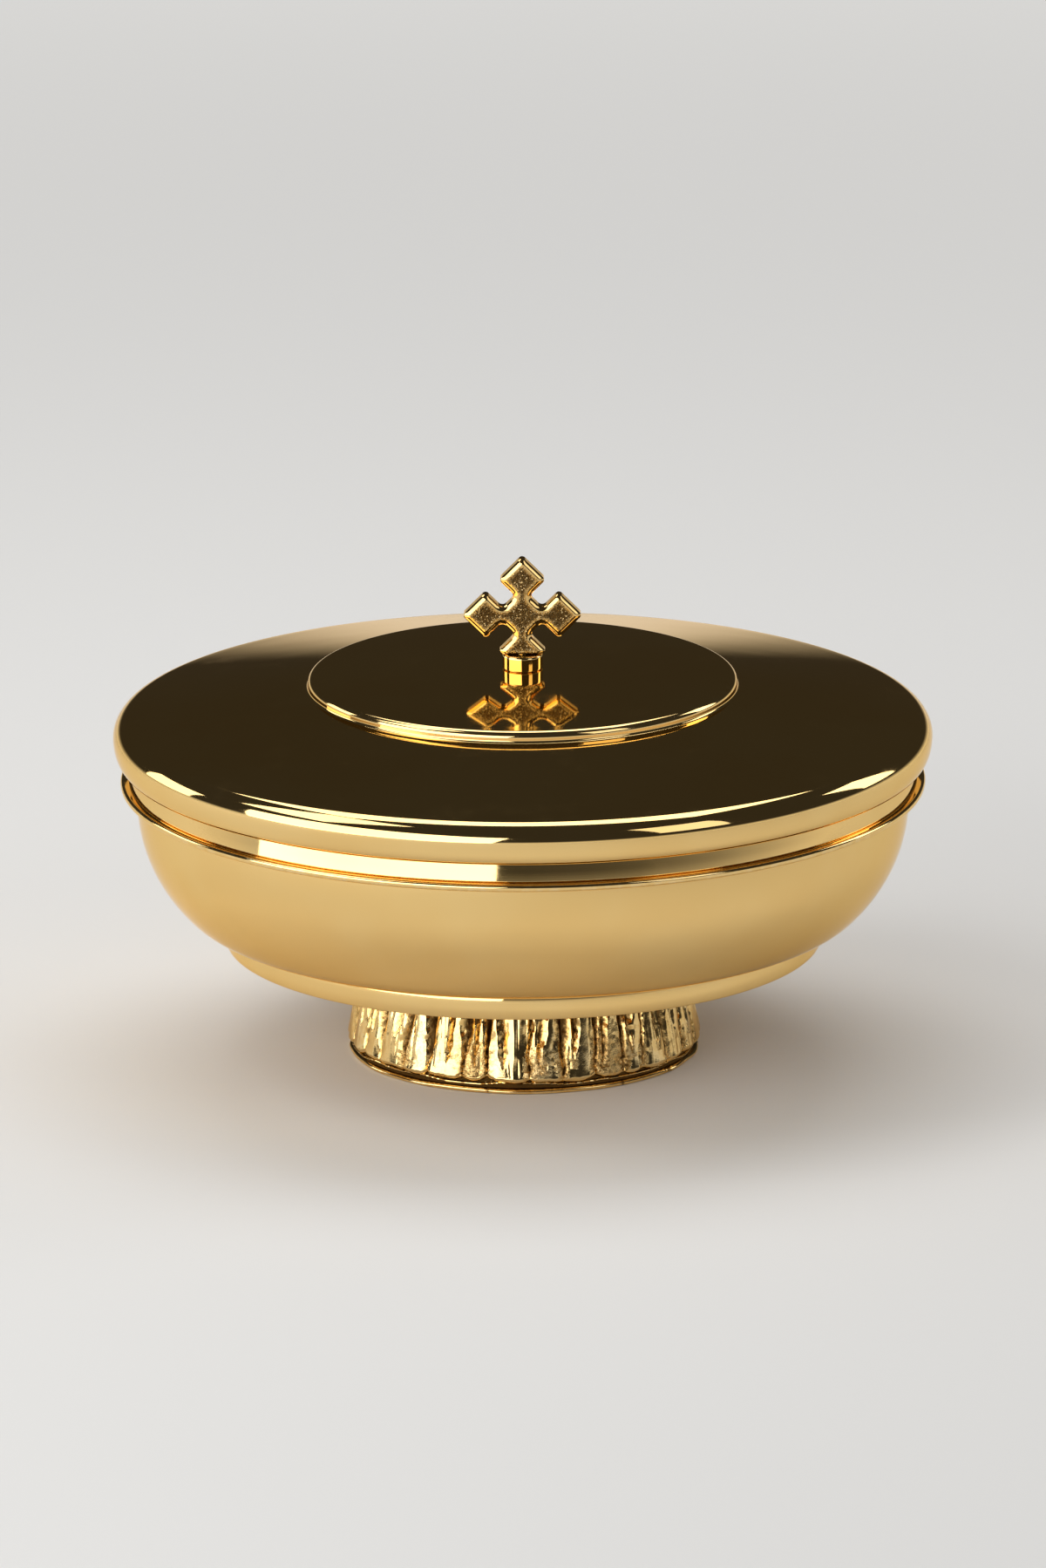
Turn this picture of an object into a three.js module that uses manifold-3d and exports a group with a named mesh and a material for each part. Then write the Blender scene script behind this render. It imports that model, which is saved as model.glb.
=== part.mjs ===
// A low, wide ciborium: a gilded bowl with a lift-off lid, a drip saucer and a fluted cast foot.
// Millimetres, +Z up. The origin is on the table, on the axis of the foot.
// The front, which the cross faces, is towards -Y.

import * as THREE from 'three';
import { mergeVertices } from 'three/addons/utils/BufferGeometryUtils.js';
import Module from 'manifold-3d';

const wasm = await Module();
wasm.setup();

// Driving dimensions of the bowl
const bowlRadius = 75.4;          // outside, at the widest circle
const bowlWall = 1.2;
const bowlArcRadius = 28.8;       // section of the side wall, outside
const bowlArcDown = 56;           // degrees of that arc below the widest circle, to the flat floor
const bowlArcUp = 20;             // degrees of that arc above the widest circle, to the rim
const ledgeRise = 4.2;            // from the widest circle up to the top of the ledge
const ledgeReach = 1.6;           // how far the ledge stands out past the skirt
const ledgeThickness = 1.5;
const solderGap = 0.3;            // between round pieces that are soldered together

// Driving dimensions of the lid
const rimPlay = 0.6;              // between the bowl's wall and the skirt that goes round it
const skirtWall = 1.3;
const skirtTaper = 10;            // degrees that the skirt leans in towards its top
const bandHeight = 3.9;           // part of the skirt that shows between ledge and lid edge
const lidWall = 1.2;
const lipHeight = 4.4;            // from the lid's bottom edge up to its widest circle
const lipBulge = 2.2;             // how far the widest circle stands out past the bottom edge
const shoulderRadius = 4.0;       // rounding from the widest circle into the sloping top
const domeRise = 9.9;             // from the widest circle up to the foot of the raised disc
const discRadius = 41.9;          // raised centre disc, at its foot
const discStep = 2.2;             // height of the disc's edge
const discEdgeRadius = 1.3;       // rounding of that edge
const discCrown = 1.4;            // rise of the disc from its edge to its centre

// Driving dimensions of the cross finial and what holds it
const centreSquare = 5.2;         // half diagonal of the cross's middle square
const armSquare = 4.6;            // half diagonal of each outer square
const armSpacing = 7.15;          // from the middle square's centre to an outer square's centre
const crossThickness = 3.2;
const crossBevel = 0.5;
const cornerRounding = 0.2;       // of the outer corners of the cross's face
const neckRounding = 1.1;         // of the inner corners, where two squares meet
const pegRadius = 1.5;
const pegFit = 0.3;               // between the peg and the holes it passes
const pegEnd = 1.2;               // length of peg below its nut
const collarRadius = 3.9;
const collarHeight = 3.8;
const collarRounding = 0.5;
const collarSeatMargin = 1.0;     // flat ring round the collar before the disc's crown starts
const finialWasherRadius = 4.5;
const finialWasherThickness = 0.8;
const finialNutFlats = 5.5;
const finialNutHeight = 2.4;

// Driving dimensions of the saucer, the foot and what clamps them
const saucerRadius = 58.5;
const saucerWall = 1.2;
const saucerDrop = 4.8;           // from the saucer's top face to the bottom of its turned-down rim
const saucerRounding = 1.1;       // outside rounding of that rim
const footHeight = 25.7;
const footTopRadius = 37.0;
const footWaistRadius = 33.0;     // over the flutes, where the foot is narrowest
const footWaistHeight = 15.0;
const footBottomRadius = 34.6;    // where the flutes end
const fluteEndHeight = 3.2;
const fluteEndRounding = 0.9;     // height of the rounding under the flutes' lower ends
const hemRadius = 33.4;           // hollow under the flutes, and edge of the standing face
const footLipReach = 0.7;         // how far the lip that stands on the table comes out of the hem
const footLipThickness = 1.1;
const footInnerRadius = 29.2;
const webThickness = 3.0;         // disc across the top of the foot
const fluteCount = 32;
const fluteDepth = 1.7;
const fluteFade = 3.5;            // height over which the flutes run out below the foot's top
const studRadius = 3.0;
const studFit = 0.3;
const studFlangeRadius = 8.0;
const studEnd = 1.5;              // length of stud below its nut
const footWasherRadius = 9.0;
const footWasherThickness = 1.0;
const footNutFlats = 10.0;
const footNutHeight = 5.0;

// Number of straight facets round large and small turned pieces, and across each flute
const largeFacets = 60;
const smallFacets = 24;
const facetsPerFlute = 4;

// Number of straight steps along the curves of the sections
const bowlArcSteps = 12;
const shoulderSteps = 5;
const lipSteps = 4;
const crownSteps = 3;
const roundingSteps = 2;
const fluteSteps = 7;
const cornerSteps = 3;
const longestMitre = 2;           // an offset corner moves at most this many times the offset

// Sizes that follow from the driving dimensions
const saucerTop = footHeight + saucerWall;
const bowlCentreRadius = bowlRadius - bowlArcRadius;
const widestHeight = saucerTop + bowlArcRadius * Math.sin(radians(bowlArcDown));
const ledgeTop = widestHeight + ledgeRise;
const skirtInnerRadius = bowlOuterRadiusAt(ledgeTop) + rimPlay;
const skirtOuterRadius = skirtInnerRadius + skirtWall;
const lipBottom = ledgeTop + bandHeight;
const lipGap = solderGap;
const lipRadius = skirtOuterRadius - leanAt(lipBottom) + lipGap + lidWall;
const lidRadius = lipRadius + lipBulge;
const lidWidestHeight = lipBottom + lipHeight;
const discFoot = lidWidestHeight + domeRise;
const discEdgeHeight = discFoot + discStep;
const lidTop = discEdgeHeight + discCrown;
const crossBottom = lidTop + collarHeight;
const crossCentre = crossBottom + armSpacing;

// Finishes
const polishedGold = { color: 0xd8b46a, roughness: 0.08, metalness: 1 };
const castGold = { color: 0xdcb765, roughness: 0.32, metalness: 1 };
const plainBrass = { color: 0xb08d45, roughness: 0.4, metalness: 1 };

const ciborium = new THREE.Group();

function radians(degrees) {
  return degrees * Math.PI / 180;
}

// Outside radius of the bowl's side wall at a height
function bowlOuterRadiusAt(height) {
  const rise = height - widestHeight;
  return bowlCentreRadius + Math.sqrt(bowlArcRadius ** 2 - rise ** 2);
}

// How far the skirt has leaned in at a height above the ledge
function leanAt(height) {
  return (height - ledgeTop) * Math.tan(radians(skirtTaper));
}

function point(radius, height) {
  return new THREE.Vector2(radius, height);
}

// Points along an elliptical arc in a section, angles in degrees from the outward direction
function arc(centre, across, up, from, to, steps) {
  const points = [];
  for (let i = 0; i <= steps; i += 1) {
    const angle = radians(from + (to - from) * i / steps);
    points.push(point(centre.x + across * Math.cos(angle), centre.y + up * Math.sin(angle)));
  }
  return points;
}

// A copy of a section line, moved sideways to its right by a distance
function offsetLine(line, distance) {
  const directions = line.slice(1).map((end, i) => end.clone().sub(line[i]).normalize());
  return line.map((here, i) => {
    const arriving = directions[Math.max(i - 1, 0)];
    const leaving = directions[Math.min(i, directions.length - 1)];
    const along = arriving.clone().add(leaving).normalize();
    const reach = distance * Math.min(1 / along.dot(arriving), longestMitre);
    return point(here.x + along.y * reach, here.y - along.x * reach);
  });
}

// Turn a section round the Z axis. A section that isn't on the axis at both ends is closed on itself.
function turned(section, facets) {
  const clockwise = THREE.ShapeUtils.area(section) < 0;
  const line = clockwise ? [...section].reverse() : [...section];
  const onAxis = line[0].x === 0 && line[line.length - 1].x === 0;
  if (!onAxis) {
    line.push(line[0].clone());
  }
  return new THREE.LatheGeometry(line, facets).rotateX(Math.PI / 2);
}

function ringSection(innerRadius, outerRadius, bottom, top) {
  return [
    point(innerRadius, bottom),
    point(outerRadius, bottom),
    point(outerRadius, top),
    point(innerRadius, top),
  ];
}

// A hexagonal nut with a round hole, standing on its bottom height
function hexNut(acrossFlats, holeRadius, bottom, height) {
  const corner = acrossFlats / 2 / Math.cos(Math.PI / 6);
  const outline = new THREE.Shape();
  for (let i = 0; i < 6; i += 1) {
    const angle = i * Math.PI / 3;
    const x = corner * Math.cos(angle);
    const y = corner * Math.sin(angle);
    if (i === 0) {
      outline.moveTo(x, y);
    } else {
      outline.lineTo(x, y);
    }
  }
  outline.closePath();
  outline.holes.push(new THREE.Path().absarc(0, 0, holeRadius, 0, 2 * Math.PI, true));
  const options = { depth: height, bevelEnabled: false, curveSegments: smallFacets };
  return new THREE.ExtrudeGeometry(outline, options).translate(0, 0, bottom);
}

// Turn a three.js geometry into a solid that can be joined, and back
function toSolid(geometry) {
  const bare = geometry.clone();
  bare.deleteAttribute('normal');
  bare.deleteAttribute('uv');
  const merged = mergeVertices(bare);
  const vertProperties = Float32Array.from(merged.attributes.position.array);
  const triVerts = Uint32Array.from(merged.index.array);
  return new wasm.Manifold(new wasm.Mesh({ numProp: 3, vertProperties, triVerts }));
}

function toGeometry(solid) {
  const mesh = solid.getMesh();
  const geometry = new THREE.BufferGeometry();
  geometry.setAttribute('position', new THREE.BufferAttribute(mesh.vertProperties, 3));
  geometry.setIndex(new THREE.BufferAttribute(mesh.triVerts, 1));
  return geometry;
}

function add(name, geometry, finish) {
  const mesh = new THREE.Mesh(geometry, new THREE.MeshStandardMaterial(finish));
  mesh.name = name;
  ciborium.add(mesh);
}

// Bowl: one spun sheet with a flat floor, a round side wall and a rim that leans in a little
function bowlShell() {
  const centre = point(bowlCentreRadius, widestHeight);
  const outside = [
    point(0, saucerTop),
    ...arc(centre, bowlArcRadius, bowlArcRadius, -bowlArcDown, bowlArcUp, bowlArcSteps),
  ];
  const inside = offsetLine(outside, -bowlWall);
  inside[0] = point(0, saucerTop + bowlWall);
  return turned([...outside, ...inside.reverse()], largeFacets);
}

// Ledge: a flat ring soldered round the bowl, which the lid stands on
function bowlLedge() {
  const inner = bowlOuterRadiusAt(ledgeTop - ledgeThickness) + solderGap;
  const outer = skirtOuterRadius + ledgeReach;
  const bottom = ledgeTop - ledgeThickness;
  const rounding = ledgeThickness / 2;
  const centre = point(outer - rounding, bottom + rounding);
  const edge = arc(centre, rounding, rounding, -90, 90, 2 * roundingSteps);
  return turned([point(inner, bottom), ...edge, point(inner, ledgeTop)], largeFacets);
}

// The rounded shoulder's centre, and the slope of the straight line from it to the disc's foot
function lidShoulder() {
  const centre = point(lidRadius - shoulderRadius, lidWidestHeight);
  const across = centre.x - discRadius;
  const up = discFoot - centre.y;
  const slope = Math.atan2(up, across) - Math.asin(shoulderRadius / Math.hypot(across, up));
  return { centre, slopeDegrees: slope * 180 / Math.PI };
}

// The lid's outside from the hole for the peg to the bottom edge
function lidOutside() {
  const shoulder = lidShoulder();
  const steepest = 90 - shoulder.slopeDegrees;
  const seat = point(collarRadius + collarSeatMargin, lidTop);
  const brink = point(discRadius - discEdgeRadius, discEdgeHeight);
  const crown = [];
  for (let i = 1; i <= crownSteps; i += 1) {
    const share = i / crownSteps;
    crown.push(point(seat.x + (brink.x - seat.x) * share, lidTop - discCrown * share ** 2));
  }
  const edgeCentre = point(discRadius - discEdgeRadius, discEdgeHeight - discEdgeRadius);
  return [
    point(pegRadius + pegFit, lidTop),
    seat,
    ...crown,
    ...arc(edgeCentre, discEdgeRadius, discEdgeRadius, 60, 0, roundingSteps),
    point(discRadius, discFoot),
    ...arc(shoulder.centre, shoulderRadius, shoulderRadius, steepest, 0, shoulderSteps),
    ...arc(point(lipRadius, lidWidestHeight), lipBulge, lipHeight, 0, -90, lipSteps).slice(1),
  ];
}

// Lid: one spun sheet with a raised centre disc, a sloping top and a turned-down edge
function lidShell() {
  const outside = lidOutside();
  const inside = offsetLine(outside, lidWall);
  inside[0] = point(outside[0].x, lidTop - lidWall);
  const last = inside.length - 1;
  inside[last] = point(lipRadius - lidWall, lipBottom);
  return turned([...outside, ...inside.reverse()], largeFacets);
}

// Height of the inside of the lid's sloping top at a radius
function lidUndersideAt(radius) {
  const shoulder = lidShoulder();
  const slope = radians(shoulder.slopeDegrees);
  const overCentre = (shoulderRadius - lidWall) / Math.cos(slope);
  return shoulder.centre.y + overCentre + (shoulder.centre.x - radius) * Math.tan(slope);
}

// Skirt: a leaning band soldered under the lid's shoulder, which stands on the ledge
function lidSkirt() {
  const top = lidUndersideAt(skirtOuterRadius) - solderGap;
  const lean = leanAt(top);
  return turned([
    point(skirtInnerRadius, ledgeTop),
    point(skirtOuterRadius, ledgeTop),
    point(skirtOuterRadius - lean, top),
    point(skirtInnerRadius - lean, top),
  ], largeFacets);
}

// The outline of the cross's face, inside its bevel: five squares standing on their corners,
// of which the lowest is cut off at its middle
function crossOutline() {
  const middle = centreSquare - crossBevel * Math.SQRT2;
  const outer = armSquare - crossBevel * Math.SQRT2;
  const neckAlong = (armSpacing - outer + middle) / 2;
  const neckAcross = middle - neckAlong;
  const cutAlong = armSpacing - crossBevel;
  const cutAcross = outer - crossBevel;
  const arm = [
    point(neckAlong, -neckAcross),
    point(armSpacing, -outer),
    point(armSpacing + outer, 0),
    point(armSpacing, outer),
    point(neckAlong, neckAcross),
  ];
  const cutArm = [arm[0], point(cutAlong, -cutAcross), point(cutAlong, cutAcross), arm[4]];
  const turnedTo = (corners, quarter) => corners.map(
    (corner) => corner.clone().rotateAround(point(0, 0), quarter * Math.PI / 2),
  );
  return [...turnedTo(arm, 0), ...turnedTo(arm, 1), ...turnedTo(arm, 2), ...turnedTo(cutArm, 3)];
}

// A shape through corners, each rounded by a curve that starts and ends a short way from it
function roundedShape(corners, outerRounding, innerRounding) {
  const shape = new THREE.Shape();
  corners.forEach((corner, i) => {
    const toBefore = corners[(i + corners.length - 1) % corners.length].clone().sub(corner);
    const toAfter = corners[(i + 1) % corners.length].clone().sub(corner);
    const isInner = toBefore.cross(toAfter) > 0;
    const rounding = isInner ? innerRounding : outerRounding;
    const start = toBefore.setLength(rounding).add(corner);
    const end = toAfter.setLength(rounding).add(corner);
    if (i === 0) {
      shape.moveTo(start.x, start.y);
    } else {
      shape.lineTo(start.x, start.y);
    }
    shape.quadraticCurveTo(corner.x, corner.y, end.x, end.y);
  });
  shape.closePath();
  return shape;
}

// Cross: a flat casting with bevelled edges, cast in one with the peg under it
function crossFinial() {
  const plate = new THREE.ExtrudeGeometry(roundedShape(crossOutline(), cornerRounding, neckRounding), {
    depth: crossThickness - 2 * crossBevel,
    bevelThickness: crossBevel,
    bevelSize: crossBevel,
    bevelSegments: roundingSteps,
    curveSegments: cornerSteps,
  });
  plate.translate(0, 0, crossBevel - crossThickness / 2);
  plate.rotateX(Math.PI / 2);
  plate.translate(0, 0, crossCentre);
  const pegRoot = armSquare / 2;  // how far the peg reaches into the cross
  const pegBottom = lidTop - lidWall - finialWasherThickness - finialNutHeight - pegEnd;
  const pegLength = crossBottom + pegRoot - pegBottom;
  const peg = new THREE.CylinderGeometry(pegRadius, pegRadius, pegLength, smallFacets);
  peg.rotateX(Math.PI / 2);
  peg.translate(0, 0, pegBottom + pegLength / 2);
  return toGeometry(toSolid(plate).add(toSolid(peg)));
}

// Collar: a short turned tube round the peg, between the lid and the cross
function finialCollar() {
  const bore = pegRadius + pegFit;
  const across = collarRadius - collarRounding;
  const lower = point(across, lidTop + collarRounding);
  const upper = point(across, crossBottom - collarRounding);
  return turned([
    point(bore, lidTop),
    ...arc(lower, collarRounding, collarRounding, -90, 0, roundingSteps),
    ...arc(upper, collarRounding, collarRounding, 0, 90, roundingSteps),
    point(bore, crossBottom),
  ], smallFacets);
}

// Washer and nut under the lid, which draw the peg tight
function finialWasher() {
  const top = lidTop - lidWall;
  const section = ringSection(pegRadius + pegFit, finialWasherRadius, top - finialWasherThickness, top);
  return turned(section, smallFacets);
}

function finialNut() {
  const bottom = lidTop - lidWall - finialWasherThickness - finialNutHeight;
  return hexNut(finialNutFlats, pegRadius + pegFit, bottom, finialNutHeight);
}

// Saucer: a flat plate under the bowl with a turned-down rim and a hole for the stud's flange
function dripSaucer() {
  const hole = studFlangeRadius + studFit;
  const bottom = saucerTop - saucerDrop;
  const centre = point(saucerRadius - saucerRounding, saucerTop - saucerRounding);
  return turned([
    point(hole, saucerTop),
    ...arc(centre, saucerRounding, saucerRounding, 90, 0, 2 * roundingSteps),
    point(saucerRadius, bottom),
    point(saucerRadius - saucerWall, bottom),
    point(saucerRadius - saucerWall, footHeight),
    point(hole, footHeight),
  ], largeFacets);
}

// Depth of the grooves at a place on the foot's outside. They are V-shaped, with the flutes
// round between them, run out below the top and end in the rounding above the hem.
function grooveAt(angle, height) {
  const acrossFlute = Math.abs(Math.sin(angle * fluteCount / 2));
  const fadeTop = THREE.MathUtils.clamp((footHeight - height) / fluteFade, 0, 1);
  const fadeEnd = THREE.MathUtils.clamp((height - fluteEndHeight) / fluteEndRounding + 1, 0, 1);
  return fluteDepth * (1 - Math.sqrt(acrossFlute)) * fadeTop * fadeEnd;
}

// Outside radius of the foot over its flutes, which draw in to a waist and flare above it
function footRadiusAt(height) {
  if (height > footWaistHeight) {
    const share = (height - footWaistHeight) / (footHeight - footWaistHeight);
    return footWaistRadius + (footTopRadius - footWaistRadius) * share ** 2;
  }
  const share = (height - fluteEndHeight) / (footWaistHeight - fluteEndHeight);
  return footWaistRadius + (footBottomRadius - footWaistRadius) * (1 + Math.cos(Math.PI * share)) / 2;
}

// The foot's outside: a thin lip, a hollow hem, the flutes' ends, the flutes and a plain top edge
function footOutside() {
  const lipMiddle = footLipThickness / 2;
  const fluteReach = footBottomRadius - hemRadius;
  const line = [
    ...arc(point(hemRadius, lipMiddle), footLipReach, lipMiddle, -90, 90, 2 * roundingSteps),
    ...arc(point(hemRadius, fluteEndHeight), fluteReach, fluteEndRounding, -90, 0, roundingSteps),
  ];
  for (let i = 1; i <= fluteSteps; i += 1) {
    const height = fluteEndHeight + (footHeight - fluteEndHeight) * i / fluteSteps;
    line.push(point(footRadiusAt(height), height));
  }
  return line;
}

// Foot: a hollow cast ring with a web across its top
function footCasting() {
  const hole = studRadius + studFit;
  const webBottom = footHeight - webThickness;
  const casting = turned([
    ...footOutside(),
    point(hole, footHeight),
    point(hole, webBottom),
    point(footInnerRadius, webBottom),
    point(footInnerRadius, 0),
  ], fluteCount * facetsPerFlute);
  const places = casting.attributes.position;
  const wallMiddle = (footInnerRadius + footWaistRadius - fluteDepth) / 2;
  for (let i = 0; i < places.count; i += 1) {
    const x = places.getX(i);
    const y = places.getY(i);
    const radius = Math.hypot(x, y);
    if (radius > wallMiddle) {
      const groove = grooveAt(Math.atan2(y, x), places.getZ(i));
      const share = (radius - groove) / radius;
      places.setXY(i, x * share, y * share);
    }
  }
  return casting;
}

// Stud: a threaded rod with a thin flange that is soldered under the bowl's floor
function footStud() {
  const flangeThickness = saucerWall - solderGap;
  const end = footHeight - webThickness - footWasherThickness - footNutHeight - studEnd;
  return turned([
    point(0, end),
    point(studRadius, end),
    point(studRadius, saucerTop - flangeThickness),
    point(studFlangeRadius, saucerTop - flangeThickness),
    point(studFlangeRadius, saucerTop),
    point(0, saucerTop),
  ], smallFacets);
}

// Washer and nut inside the foot, which clamp foot, saucer and bowl together
function footWasher() {
  const top = footHeight - webThickness;
  const section = ringSection(studRadius + studFit, footWasherRadius, top - footWasherThickness, top);
  return turned(section, smallFacets);
}

function footNut() {
  const bottom = footHeight - webThickness - footWasherThickness - footNutHeight;
  return hexNut(footNutFlats, studRadius + studFit, bottom, footNutHeight);
}

add('bowl_shell', bowlShell(), polishedGold);
add('bowl_ledge_ring', bowlLedge(), polishedGold);
add('drip_saucer', dripSaucer(), polishedGold);
add('foot_casting', footCasting(), castGold);
add('foot_stud', footStud(), plainBrass);
add('foot_washer', footWasher(), plainBrass);
add('foot_nut', footNut(), plainBrass);
add('lid_shell', lidShell(), polishedGold);
add('lid_skirt', lidSkirt(), polishedGold);
add('cross_finial', crossFinial(), castGold);
add('finial_collar', finialCollar(), polishedGold);
add('finial_washer', finialWasher(), plainBrass);
add('finial_nut', finialNut(), plainBrass);

export default ciborium;
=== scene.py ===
"""Looks of a gilded ciborium: spun sheet bowl and lid, fluted cast foot and cast cross."""

import math

import bmesh
import bpy
import numpy as np
from mathutils import Matrix, Vector
from mathutils.geometry import delaunay_2d_cdt


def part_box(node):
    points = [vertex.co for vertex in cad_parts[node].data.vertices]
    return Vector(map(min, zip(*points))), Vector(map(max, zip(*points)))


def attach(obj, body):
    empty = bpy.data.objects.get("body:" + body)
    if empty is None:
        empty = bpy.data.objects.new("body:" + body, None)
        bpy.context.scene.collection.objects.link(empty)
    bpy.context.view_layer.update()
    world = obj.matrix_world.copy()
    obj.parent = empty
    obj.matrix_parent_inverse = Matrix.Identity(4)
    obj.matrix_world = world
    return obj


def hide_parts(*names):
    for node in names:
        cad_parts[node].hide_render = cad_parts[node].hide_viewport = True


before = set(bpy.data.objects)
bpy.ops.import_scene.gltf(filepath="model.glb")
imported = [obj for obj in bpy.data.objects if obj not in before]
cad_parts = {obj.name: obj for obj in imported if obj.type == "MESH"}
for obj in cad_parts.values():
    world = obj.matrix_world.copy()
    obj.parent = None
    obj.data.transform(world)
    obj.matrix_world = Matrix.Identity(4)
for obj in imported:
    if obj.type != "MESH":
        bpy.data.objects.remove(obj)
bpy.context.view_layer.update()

MM = 0.001

# The photograph, and how its camera saw the object
PHOTO_HEIGHT = 1799               # pixels
PIXELS_PER_MM = 5.875
CAMERA_ELEVATION = 15.6           # degrees above the table
CAMERA_ROLL = 0.23                # degrees, the right side of the object is a little higher
CAMERA_AIM = (0.0, 0.0, 53.3)     # mm, the point in the middle of the photograph
CAMERA_LENS = 600.0               # mm, so long that there is nearly no perspective
SENSOR = 36.0                     # mm along the long side

# Sheet and turned pieces, in mm. Their overall sizes come from the frame.
SHEET = 1.2
BOWL_ARC_RADIUS = 28.8            # section of the bowl's side wall
BOWL_ARC_DOWN = 56.0              # degrees of that arc below the widest circle
BOWL_ARC_UP = 20.0                # degrees above it
BOWL_CORNER_RADIUS = 12.0         # with which the side wall runs into the flat bottom
SHOULDER_RADIUS = 4.0             # lid's edge, above its widest circle
LIP_BULGE = 2.2                   # the widest circle stands out this far past the lid's bottom edge
LIP_HEIGHT = 4.4
DISC_RADIUS = 41.9                # raised centre of the lid
DISC_STEP = 2.2
DISC_CROWN = 1.4
DISC_EDGE_RADIUS = 1.3
DISC_EDGE_START = 84.0            # degrees from the outward direction, where the edge's arc starts
DISC_FOOT_FILLET = 0.6
SEAT_RADIUS = 4.9                 # flat ring round the collar
PEG_HOLE_RADIUS = 1.8
SKIRT_WALL = 1.3
SKIRT_LEAN = 10.0                 # degrees that the skirt leans in towards its top
SKIRT_ROUNDING = 0.2
SKIRT_FOOT_ROUNDING = 0.3         # of its outer edge on the ledge
SAUCER_ROUNDING = 0.5
SAUCER_BARREL = 0.35              # the rim's side bulges this far between its edges
SAUCER_HOLE_GAP = 0.3             # round the stud's flange
LEDGE_ROUNDING = 0.7
SHEET_EDGE_ROUNDING = 0.35
COLLAR_FOOT_ROUNDING = 0.35
COLLAR_TOP_ROUNDING = 0.55

# Cross, in mm
MIDDLE_SQUARE = 5.2               # half diagonal
ARM_SQUARE = 4.6                  # half diagonal
ARM_SPACING = 7.15                # from the middle square's centre to an arm square's centre
OUTER_CORNER = 0.8                # rounding radii of the outline
NECK_CORNER = 1.1
CUT_CORNER = 0.4
CUT_BEVEL_SHARE = 0.3             # of the bevel that the cut side over the collar has
CUT_DROP = 0.7                    # how far the collar's top and the cut over it lie below the solids'
CROSS_BEVEL_ACROSS = 0.85
CROSS_BEVEL_DEEP = 0.6
CROSS_BEVEL_FLAT = 0.6            # how much of a flat chamfer the bevel is
FACE_DISH = 0.10                  # the faces lie this far back in their middle
DISH_REACH = 1.4                  # from a face's edge to its full dish
FACE_UNEVEN = 0.02                # how far points of the faces lie higher or lower
EVEN_RIM = 0.3                    # along a face's edge, where none do
GRAIN_AND_DARK_REACH = 0.9                 # from a face's edge to its full grain and full painted dark reflection
PEG_RADIUS = 1.5
PEG_PITCH = 0.5
PEG_THREAD = 6.0                  # length of its thread
PEG_OVERLAP = 1.0                 # how far it reaches into the cross

# Foot, in mm
FLUTES = 32
FLUTE_DEPTH = 2.0
FLUTE_FADE = 3.5                  # the folds run out this far below the foot's top
TONGUE_END = 3.2                  # height of the rounded lower ends of the folds
TONGUE_ARCH = 0.9                 # how much higher the ends can be beside a groove
TONGUE_ROUNDING = 0.9
CREASE_HEIGHT = 2.0               # of a thin crease in the hollow below the folds
GRAINY_SIDE = math.radians(-35)   # where round the foot the grain of the casting is left
FOOT_BOTTOM_RADIUS = 34.6         # over the folds, where they end
FOOT_WAIST_RADIUS = 32.4
FOOT_WAIST_HEIGHT = 15.0
HEM_RADIUS = 33.4                 # of the hollow below the folds
LIP_REACH = 0.7                   # of the wavy lip that stands on the table, out of the hollow
LIP_THICKNESS = 1.1
CREASE_REACH = 0.4                # out of the hollow
CREASE_THICKNESS = 0.5
HEM_WAVES = 0.35                  # of the crease's height, in mm, and as a share of the lip's reach
FOOT_INNER_RADIUS = 29.2
STUD_HOLE_RADIUS = 3.3
WEB_THICKNESS = 3.0

# The folds of the foot, in mm
FOLD_SHIFT = 0.4                  # sideways at most, as a share of half the pitch
FOLD_LEAN = 0.06                  # at most, in radians round the axis from end to end
FOLD_WARP = 0.35                  # how far a groove's edges wander, and how ragged they are
FOLD_RAGGED = 0.22
NARROWEST = 0.3                   # half width of a groove at its lower end
WIDENING = (0.9, 3.0)             # least and most that it widens by up to the top
WIDENING_POWER = 0.75             # below 1, so most of that is low down
DEPTH_SHARE = (0.75, 1.0)         # least and most of the flutes' depth that it has
START_DEPTH = 0.2                 # share of that depth at the lower end of a full groove
DEEPENING_POWER = 0.4             # of its depth, and of the streaks' depth, over the height
GROOVE_POWER = 1.1                # of its depth over the way in from its edges
SHORT_GROOVE_END = (0.06, 0.4)    # where the shorter grooves end, as a share of the height
LEAST_ARCH = 0.1
SHOULDER_DROP = 0.7               # how far a fold rounds off towards the grooves beside it
SHOULDER_LOW = 0.4                # share of that at its lower end
STREAK_DEPTH = 0.22
STREAK_LEVEL = 0.5                # above 0, so more than half of the surface has streaks
STREAK_WANDER = 0.008             # radians
FINE_STREAKS = 0.7                # as a share of the wider streaks
FOLD_UNEVEN = 0.1
END_WAVES = 0.25                  # how much higher or lower the folds end

# The grain that is left on the foot's casting, in mm or as a share of a fully grainy place
GRAINY_HEIGHT = 9.0               # above the folds' ends, over which it gets less
GRAIN_DEPTH = 0.35
FINE_GRAINS = 0.6                 # as a share of the coarse ones
HALO_REACH = 0.9                  # past a groove's edges
HALO_GAIN = 1.3                   # above 1, so all of a groove's middle has it
HALO_START = 0.08                 # below a shorter groove's end, as a share of the height
GRAIN_BESIDE_GROOVES = (0.25, 0.9)    # everywhere, and more of it low down on the grainy side
GRAIN_IN_PATCHES = (0.3, 0.5)     # everywhere, and more of it low down
GRAIN_POLISHED_OFF = 0.25         # of the two above
GRAIN_GAIN_IN_GROOVES = 1.2
GRAIN_CAVITY = 0.5                # how much of a cavity a grain is
HOLLOW_EDGE = 0.5                 # the hollow under the folds gets darker over this height, partly dirt and partly painted shade
HOLLOW_REACH = 0.25               # and less far out than this

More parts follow.
